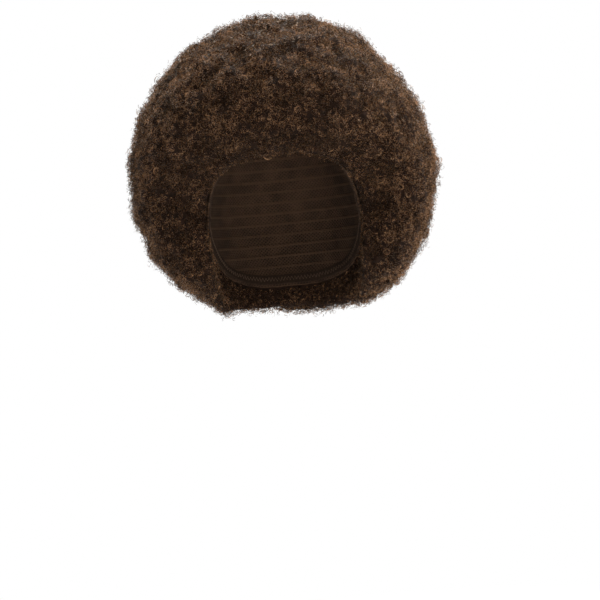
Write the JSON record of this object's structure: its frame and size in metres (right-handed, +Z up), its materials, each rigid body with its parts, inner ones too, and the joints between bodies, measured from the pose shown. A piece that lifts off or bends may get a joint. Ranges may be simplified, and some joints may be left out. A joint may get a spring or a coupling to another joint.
{
  "type": "afro wig",
  "caption": "Large round afro wig: a ball of tightly curled synthetic hair on a hollow stretch cap with an elastic edge, open for the face and neck.",
  "frame": {"origin": "where the inside of the cap rests on the crown of the wearer's head", "axes": "+Z up along the wearer's head, the face opening towards -Y, the wearer's left towards +X"},
  "size_m": [0.3118, 0.294, 0.3062],
  "materials": {
    "hair": "dark brown synthetic fibre in tight curls, soft sheen",
    "cap": "dark brown knitted stretch net, matte",
    "elastic": "black-brown woven elastic tape, matte"
  },
  "bodies": {
    "root": {"net_cap": "cap", "elastic_edge": "elastic", "hair": "hair"}
  },
  "joints": []
}
